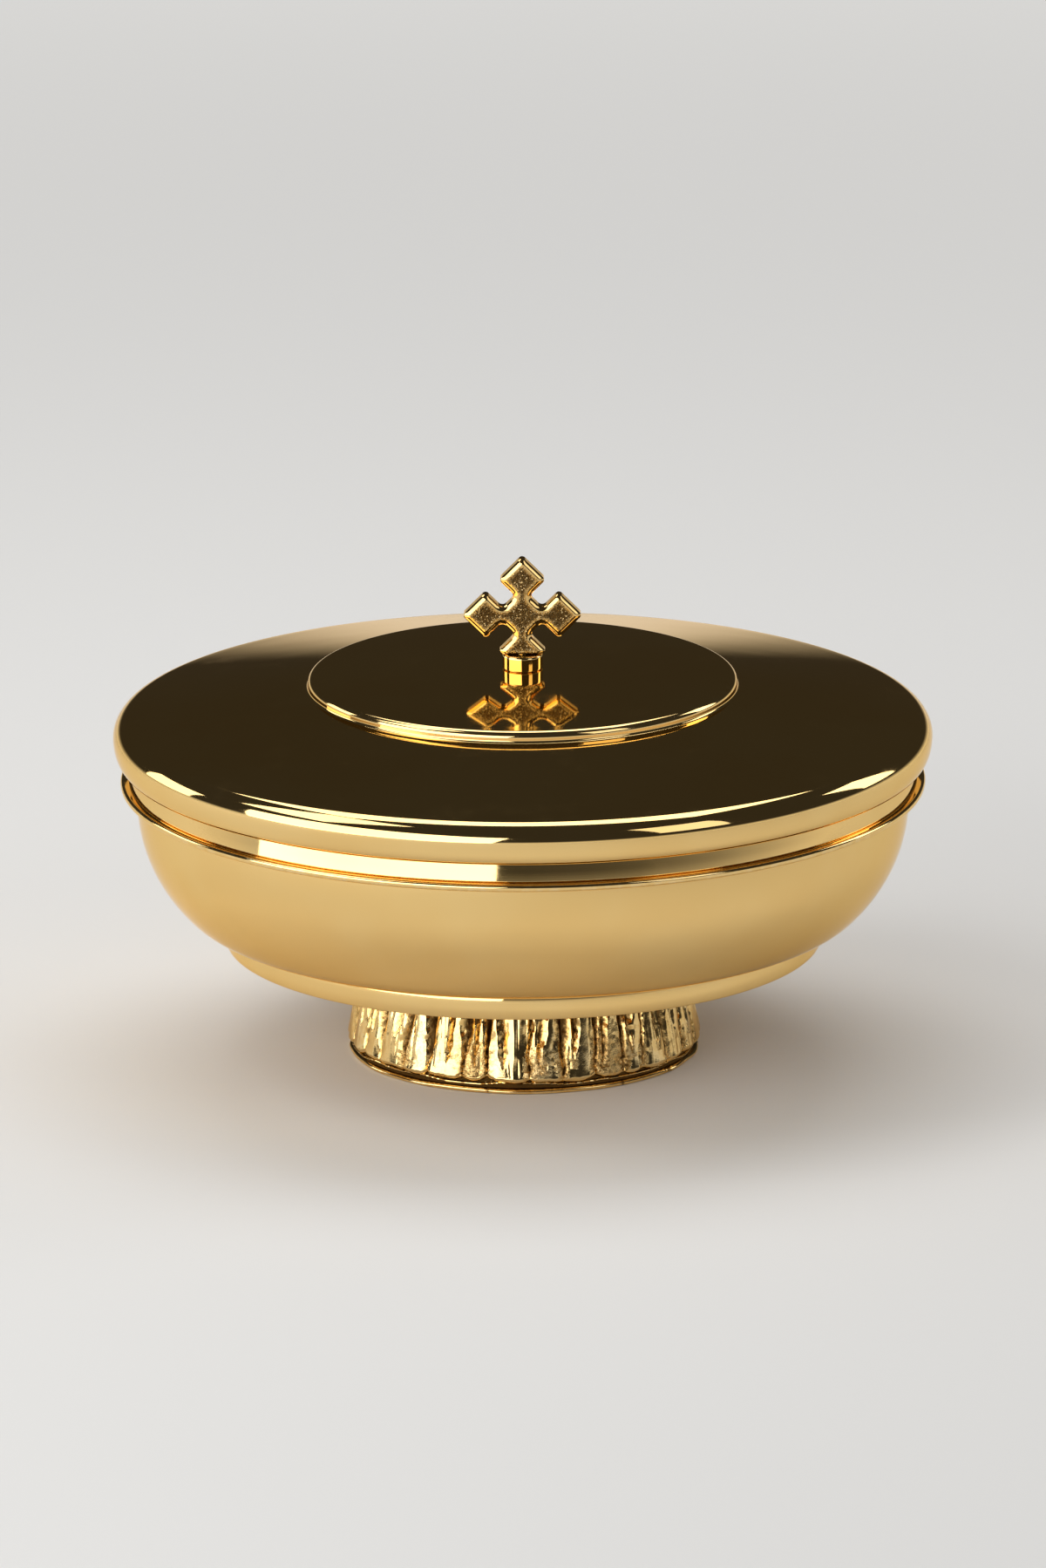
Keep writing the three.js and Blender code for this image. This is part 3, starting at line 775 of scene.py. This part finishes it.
def threaded(radius, bottom, top, pitch, thread_top, columns):
    """A round rod with a thread from its bottom end up to a height."""
    rings = int((thread_top - bottom) / pitch * THREAD_STEPS)
    heights = np.concatenate([[bottom], np.linspace(bottom, thread_top, rings), [top, top]])
    angles = np.linspace(0, 2 * np.pi, columns, endpoint=False)
    turn = (heights[:, None] / pitch - angles[None, :] / (2 * np.pi)) % 1
    depth = THREAD_DEPTH * pitch * np.abs(2 * turn - 1)
    chamfer_along, chamfer_across = ROD_CHAMFER
    entering = np.clip((heights[:, None] - bottom) / (chamfer_along * pitch), 0, 1)
    leaving = np.clip((thread_top - heights[:, None]) / pitch, 0, 1)
    radii = radius - depth * leaving - chamfer_across * pitch * (1 - entering)
    radii[0] = 0
    radii[-1] = 0
    radii[-2] = radius
    return ring_form(radii, np.repeat(heights[:, None], columns, axis=1))


def nut(name, body, replaced, hole):
    """A hexagonal nut with chamfered corners."""
    low, high = box_mm(replaced)
    flats = high.y - low.y
    angles = np.linspace(0, 2 * np.pi, NUT_COLUMNS, endpoint=False)
    corner = flats / 2 / np.cos((angles % (np.pi / 3)) - np.pi / 6)
    face_radius = flats / 2 * NUT_FACE
    drop = (corner - face_radius) * math.tan(math.radians(NUT_CHAMFER))
    level = np.ones(NUT_COLUMNS)
    section = [
        (hole + COUNTERSINK, low.z),
        (face_radius, low.z),
        (corner, low.z + drop),
        (corner, high.z - drop),
        (face_radius, high.z),
        (hole + COUNTERSINK, high.z),
        (hole, high.z - COUNTERSINK),
        (hole, low.z + COUNTERSINK),
    ]
    radii = np.array([level * radius for radius, _ in section])
    heights = np.array([level * height for _, height in section])
    piece(name, [ring_form(radii, heights)], body, replaced, PLAIN)


def washer(name, body, replaced, hole):
    low, high = box_mm(replaced)
    rounding = (high.z - low.z) * WASHER_ROUNDING
    section = rounded([
        (hole, low.z, rounding),
        (high.x, low.z, rounding),
        (high.x, high.z, rounding),
        (hole, high.z, rounding),
    ])
    spun_piece(name, section, body, replaced, PLAIN, SMALL_COLUMNS)


def stud():
    low, high = box_mm("foot_stud")
    flange_bottom = high.z - FLANGE_THICKNESS
    flange = rounded([
        (0, flange_bottom, 0),
        (high.x, flange_bottom, FLANGE_ROUNDING),
        (high.x, high.z, FLANGE_ROUNDING),
        (0, high.z, 0),
    ])
    thread_top = flange_bottom - STUD_PLAIN_END
    rod = threaded(STUD_RADIUS, low.z, flange_bottom, STUD_PITCH, thread_top, STUD_COLUMNS)
    forms = [rod, spun(flange, SMALL_COLUMNS)]
    piece("stud_rod", forms, "bowl", "foot_stud", PLAIN)


# The lid


def lid():
    low, high = box_mm("lid_shell")
    widest = low.z + LIP_HEIGHT
    disc_edge = high.z - DISC_CROWN
    disc_foot = disc_edge - DISC_STEP
    shoulder = np.array([high.x - SHOULDER_RADIUS, widest])
    to_foot = np.array([shoulder[0] - DISC_RADIUS, disc_foot - widest])
    slope = math.atan2(to_foot[1], to_foot[0]) - math.asin(SHOULDER_RADIUS / np.hypot(*to_foot))
    tangent_angle = 90 - math.degrees(slope)
    tangent = shoulder + SHOULDER_RADIUS * np.array([math.sin(slope), math.cos(slope)])
    brink = DISC_RADIUS - DISC_EDGE_RADIUS
    shares = np.linspace(0, 1, CROWN_STEPS + 1)
    crown_radii = SEAT_RADIUS + (brink - SEAT_RADIUS) * shares
    crown = np.column_stack([crown_radii, high.z - DISC_CROWN * shares ** 2])
    edge_centre = (brink, disc_edge - DISC_EDGE_RADIUS)
    edge = arc(edge_centre, DISC_EDGE_RADIUS, DISC_EDGE_RADIUS, DISC_EDGE_START, 0)
    foot_corner = rounded([
        (DISC_RADIUS, disc_edge, 0),
        (DISC_RADIUS, disc_foot, DISC_FOOT_FILLET),
        (*tangent, 0),
    ])[1:-1]
    bend = arc(shoulder, SHOULDER_RADIUS, SHOULDER_RADIUS, tangent_angle, 0)
    lip = arc((high.x - LIP_BULGE, widest), LIP_BULGE, LIP_HEIGHT, 0, -90)[1:]
    outside = np.vstack([[(PEG_HOLE_RADIUS, high.z)], crown, edge, foot_corner, bend, lip])
    inside = moved_sideways(outside, -SHEET)[::-1]
    inside[-1] = (PEG_HOLE_RADIUS, high.z - SHEET)
    inside[0] = (outside[-1][0] - SHEET, low.z)
    section = stepped(np.vstack([outside, inside]), closed=True)[::-1]
    spun_piece("lid_sheet", section, "lid", "lid_shell", POLISHED)


def skirt():
    low, high = box_mm("lid_skirt")
    top_outer = high.x - (high.z - low.z) * math.tan(math.radians(SKIRT_LEAN))
    section = rounded([
        (high.x - SKIRT_WALL, low.z, SKIRT_ROUNDING),
        (high.x, low.z, SKIRT_FOOT_ROUNDING),
        (top_outer, high.z, SKIRT_ROUNDING),
        (top_outer - SKIRT_WALL, high.z, SKIRT_ROUNDING),
    ])
    section = stepped(section, closed=True)
    spun_piece("skirt_band", section, "lid", "lid_skirt", POLISHED)


def collar():
    low, high = box_mm("finial_collar")
    top = high.z - CUT_DROP
    section = rounded([
        (PEG_HOLE_RADIUS, low.z, 0),
        (high.x, low.z, COLLAR_FOOT_ROUNDING),
        (high.x, top, COLLAR_TOP_ROUNDING),
        (PEG_HOLE_RADIUS, top, 0),
    ])
    section = stepped(section, closed=True)
    spun_piece(
        "collar_ferrule", section, "lid", "finial_collar", POLISHED, SMALL_COLUMNS
    )


def cross_corners():
    """Corners of the cross's outline from its middle, the share of the bevel that each side has from
    its corner on, and the corners' rounding radii. It is five squares, the lowest cut just below its
    middle to stand on the collar."""
    neck_along = (ARM_SPACING - ARM_SQUARE + MIDDLE_SQUARE) / 2
    neck_across = MIDDLE_SQUARE - neck_along
    arm = [
        (neck_along, -neck_across),
        (ARM_SPACING, -ARM_SQUARE),
        (ARM_SPACING + ARM_SQUARE, 0),
        (ARM_SPACING, ARM_SQUARE),
        (neck_along, neck_across),
    ]
    cut = [
        (ARM_SPACING + CUT_DROP, CUT_DROP - ARM_SQUARE),
        (ARM_SPACING + CUT_DROP, ARM_SQUARE - CUT_DROP),
    ]
    cut_arm = arm[:2] + cut + arm[3:]
    corners = []
    for quarter, outline in enumerate([arm, arm, arm, cut_arm]):
        turn = Matrix.Rotation(quarter * math.pi / 2, 2)
        corners += [turn @ Vector(corner) for corner in outline]
    # The cut square's four corners come before the last neck, and the cut side starts at the second
    shares = [1.0] * len(corners)
    shares[-4] = CUT_BEVEL_SHARE
    roundings = [OUTER_CORNER] * len(corners)
    roundings[-5:-1] = [CUT_CORNER] * 4
    return [np.array(corner) for corner in corners], shares, roundings


def cross_loop(inset):
    """The outline moved in by an inset, as a set number of points along each corner's curve and
    each side."""
    corners, shares, roundings = cross_corners()
    curves = []
    for i, here in enumerate(corners):
        to_before, to_after = ways_from(corners, i)
        is_neck = to_before[0] * to_after[1] - to_before[1] * to_after[0] > 0
        angle = math.acos(np.clip(to_before @ to_after, -1, 1))
        inward = -inset if is_neck else inset
        shift = to_after * shares[i - 1] + to_before * shares[i]
        moved = here + shift * inward / math.sin(angle)
        rounding = NECK_CORNER + inset if is_neck else roundings[i] * (1 - inset / 2)
        curves.append(corner_curve(moved, to_before, to_after, rounding, CORNER_STEPS))
    points = []
    for curve, following in zip(curves, curves[1:] + curves[:1]):
        start, end = curve[-1], following[0]
        points += curve
        points += [start + (end - start) * step / SIDE_STEPS for step in range(1, SIDE_STEPS)]
    return np.array(points)


def rim_distance(points, outline):
    """How far each point is from the nearest point of a closed outline."""
    start = outline[:, None, :]
    along = (np.roll(outline, -1, axis=0) - outline)[:, None, :]
    offset = points[None, :, :] - start
    share = np.clip((offset * along).sum(-1) / (along ** 2).sum(-1), 0, 1)
    return np.hypot(*np.moveaxis(offset - share[..., None] * along, -1, 0)).min(axis=0)


def is_inside(points, outline):
    """Which points lie inside a closed outline."""
    x, y = points[None, :, 0], points[None, :, 1]
    start_x, start_y = outline[:, :1], outline[:, 1:]
    end_x, end_y = np.roll(start_x, -1, axis=0), np.roll(start_y, -1, axis=0)
    crossing = (start_y > y) != (end_y > y)
    rise = np.where(crossing, end_y - start_y, 1)
    meets_x = start_x + (y - start_y) * (end_x - start_x) / rise
    return (crossing & (x < meets_x)).sum(axis=0) % 2 == 1


def cross_face_fill(outline):
    """Points and triangles that fill the flat of the cross's face. The outline's points come first."""
    reach = ARM_SPACING + ARM_SQUARE
    rows = np.arange(-reach, reach, FACE_SPACING * math.sqrt(3) / 2)
    across = np.arange(-reach, reach, FACE_SPACING)
    grid = np.array([
        (x + FACE_SPACING / 2 * (row % 2), y)
        for row, y in enumerate(rows) for x in across
    ])
    grid = grid[is_inside(grid, outline)]
    grid = grid[rim_distance(grid, outline) > FACE_SPACING / 2]
    corners = [Vector(p) for p in np.vstack([outline, grid])]
    points, _, triangles, *_ = delaunay_2d_cdt(corners, [], [list(range(len(outline)))], 1, 1e-6)
    return np.array([tuple(point) for point in points]), triangles


def bevel_profile(half):
    """Inset and depth along the bevel, from the cross's side to its face: a chamfer whose two edges
    are rounded off. It blends a straight line with a quarter of an ellipse."""
    turns = np.radians(np.linspace(0, 90, BEVEL_STEPS + 1))
    shares = np.linspace(0, 1, BEVEL_STEPS + 1)
    insets = (1 - CROSS_BEVEL_FLAT) * (1 - np.cos(turns)) + CROSS_BEVEL_FLAT * shares
    drops = (1 - CROSS_BEVEL_FLAT) * (1 - np.sin(turns)) + CROSS_BEVEL_FLAT * (1 - shares)
    return list(zip(CROSS_BEVEL_ACROSS * insets, half - CROSS_BEVEL_DEEP * drops))


def cross_sides(loops, depths):
    """The form between outlines of the cross that lie one behind another, from face to face."""
    points = np.vstack([
        np.column_stack([loop[:, 0], np.full(len(loop), depth), loop[:, 1]])
        for loop, depth in zip(loops, depths)
    ])
    faces = ring_faces(len(loops), len(loops[0]))[:-1]
    return points, faces.reshape(-1, 4).tolist()


def cross_face(rng, outline, depth, side):
    """A face of the cross, dished and uneven, and how much grain and painted dark reflection each of
    its points has.
    """
    flat, triangles = cross_face_fill(outline)
    is_rim = np.arange(len(flat)) < len(outline)
    distance = np.zeros(len(flat))
    distance[~is_rim] = rim_distance(flat[~is_rim], outline)
    way_in = np.clip(distance / DISH_REACH, 0, 1)
    dish = FACE_DISH * way_in ** 2 * (3 - 2 * way_in)
    uneven = rng.uniform(-FACE_UNEVEN, FACE_UNEVEN, len(flat)) * (distance > EVEN_RIM)
    points = np.column_stack([flat[:, 0], side * (depth - dish + uneven), flat[:, 1]])
    return (points, triangles), np.clip(distance / GRAIN_AND_DARK_REACH, 0, 1)


def cross():
    low, high = box_mm("cross_finial")
    collar_top = box_mm("finial_collar")[1].z
    half = high.y
    profile = bevel_profile(half)
    sides = [(inset, -depth) for inset, depth in reversed(profile)] + profile
    loops = [cross_loop(inset) for inset, _ in sides]
    rng = np.random.default_rng(CROSS_SEED)
    front, front_grain_and_painted_dark = cross_face(rng, loops[0], half, -1)
    back, back_grain_and_painted_dark = cross_face(rng, loops[-1], half, 1)
    forms = [cross_sides(loops, [depth for _, depth in sides]), front, back]
    middle = np.array([0, 0, collar_top + ARM_SPACING])
    forms = [(points + middle, faces) for points, faces in forms]
    peg_top = collar_top + PEG_OVERLAP
    forms.append(threaded(PEG_RADIUS, low.z, peg_top, PEG_PITCH, low.z + PEG_THREAD, PEG_COLUMNS))
    side_grain = np.zeros(len(forms[0][0]))
    peg_grain = np.full(len(forms[-1][0]), UNSEEN_MARK)
    # The faces' grainy mark also sets how much painted dark reflection they get
    grainy = np.concatenate([side_grain, front_grain_and_painted_dark, back_grain_and_painted_dark, peg_grain])
    piece("cross_cast", forms, "lid", "cross_finial", GRAINED, {"grainy": grainy})


bowl()
ledge()
saucer()
foot()
stud()
washer("washer_in_foot", "bowl", "foot_washer", STUD_HOLE_RADIUS)
nut("nut_in_foot", "bowl", "foot_nut", STUD_HOLE_RADIUS)
lid()
skirt()
collar()
cross()
washer("washer_in_lid", "lid", "finial_washer", PEG_HOLE_RADIUS)
nut("nut_in_lid", "lid", "finial_nut", PEG_HOLE_RADIUS)


# Studio

PALE_FLOOR = (0.82, 0.81, 0.79, 1)
PALE_SURROUNDINGS = (0.80, 0.79, 0.77, 1)
DIM_OVERHEAD = (0.035, 0.033, 0.030, 1)
PLAIN_LIGHT = (0.2, 0.2, 0.2, 1)
DIMMING = (-0.07, 0.09)            # from and to this height, on a sphere of radius 1
FLOOR_REACH = 3.0                  # m
FLOOR_FADE = (0.35, 1.2)           # m from the axis, where the fading starts and ends
LAMP_AIM = (0, 0, 0.06)            # m


def studio_floor():
    """A pale floor that fades into the pale surroundings away from the object."""
    mesh = bpy.data.meshes.new("floor")
    ways = [(-1, -1), (1, -1), (1, 1), (-1, 1)]
    corners = [(x * FLOOR_REACH, y * FLOOR_REACH, 0) for x, y in ways]
    mesh.from_pydata(corners, [], [(0, 1, 2, 3)])
    floor = placed("floor", mesh)
    material, tree = new_tree("pale_floor")
    place = node(tree, "ShaderNodeTexCoord").outputs["Object"]
    away = node(tree, "ShaderNodeVectorMath", {0: place}, operation="LENGTH").outputs["Value"]
    diffuse = node(tree, "ShaderNodeBsdfDiffuse", {"Color": PALE_FLOOR}).outputs[0]
    clear = node(tree, "ShaderNodeBsdfTransparent").outputs[0]
    share = ramp(tree, away, *FLOOR_FADE)
    shader = node(tree, "ShaderNodeMixShader", {0: share, 1: diffuse, 2: clear})
    node(tree, "ShaderNodeOutputMaterial", {"Surface": shader.outputs[0]})
    mesh.materials.append(material)


def studio_world():
    """Surroundings that are seen pale up to the horizon and dim overhead, and light everything
    plainly."""
    world = bpy.data.worlds.new("studio")
    bpy.context.scene.world = world
    world.use_nodes = True
    tree = world.node_tree
    tree.nodes.clear()
    direction = node(tree, "ShaderNodeTexCoord").outputs["Generated"]
    height = node(tree, "ShaderNodeSeparateXYZ", {0: direction}).outputs["Z"]
    overhead = ramp(tree, height, *DIMMING)
    colour = mixed(tree, overhead, PALE_SURROUNDINGS, DIM_OVERHEAD)
    seen = node(tree, "ShaderNodeBackground", {"Color": colour}).outputs[0]
    lighting = node(tree, "ShaderNodeBackground", {"Color": PLAIN_LIGHT}).outputs[0]
    path = node(tree, "ShaderNodeLightPath").outputs
    direct = maths(tree, "MAXIMUM", path["Is Camera Ray"], path["Is Glossy Ray"])
    direct = maths(tree, "MAXIMUM", direct, path["Is Transmission Ray"])
    shader = node(tree, "ShaderNodeMixShader", {0: direct, 1: lighting, 2: seen})
    node(tree, "ShaderNodeOutputWorld", {"Surface": shader.outputs[0]})


def soft_box(name, azimuth, elevation, distance, width, height, brightness):
    """An area lamp that faces the object, in degrees and metres. Azimuth 0 is in front, and 90 on the
    right. The brightness is what a mirror shows of it."""
    lamp = bpy.data.lights.new(name, "AREA")
    lamp.shape = "RECTANGLE"
    lamp.size = width
    lamp.size_y = height
    lamp.energy = brightness * math.pi * width * height
    made = placed(name, lamp)
    a, e = math.radians(azimuth), math.radians(elevation)
    away = Vector((math.sin(a) * math.cos(e), -math.cos(a) * math.cos(e), math.sin(e)))
    made.location = Vector(LAMP_AIM) + away * distance
    made.rotation_mode = "QUATERNION"
    made.rotation_quaternion = away.to_track_quat("Z", "Y")
    made.visible_camera = False


def photo_camera():
    data = bpy.data.cameras.new("camera")
    data.lens = CAMERA_LENS
    data.sensor_width = SENSOR
    camera = placed("camera", data)
    e = math.radians(CAMERA_ELEVATION)
    back = Vector((0, -math.cos(e), math.sin(e)))
    distance = CAMERA_LENS / SENSOR * PHOTO_HEIGHT / PIXELS_PER_MM * MM
    camera.location = Vector(CAMERA_AIM) * MM + back * distance
    roll = Matrix.Rotation(math.radians(-CAMERA_ROLL), 4, "Z").to_quaternion()
    camera.rotation_mode = "QUATERNION"
    camera.rotation_quaternion = back.to_track_quat("Z", "Y") @ roll
    data.clip_start = 0.01
    data.clip_end = 20
    bpy.context.scene.camera = camera


studio_floor()
studio_world()
soft_box("key_lamp", -44, 14, distance=1.0, width=1.5, height=0.6, brightness=2.8)
soft_box("side_lamp", -80, 52, distance=1.0, width=0.5, height=0.5, brightness=2.4)
soft_box("left_lamp", -114, 12, distance=1.1, width=0.45, height=0.4, brightness=2.4)
soft_box("fill_lamp", 48, 30, distance=1.1, width=0.4, height=0.6, brightness=1.3)
soft_box("rim_lamp", 115, 22, distance=1.0, width=0.3, height=0.5, brightness=2.5)
soft_box("top_lamp", 180, 66, distance=1.0, width=0.9, height=0.6, brightness=2.6)
photo_camera()
bpy.context.scene.view_settings.view_transform = "Standard"
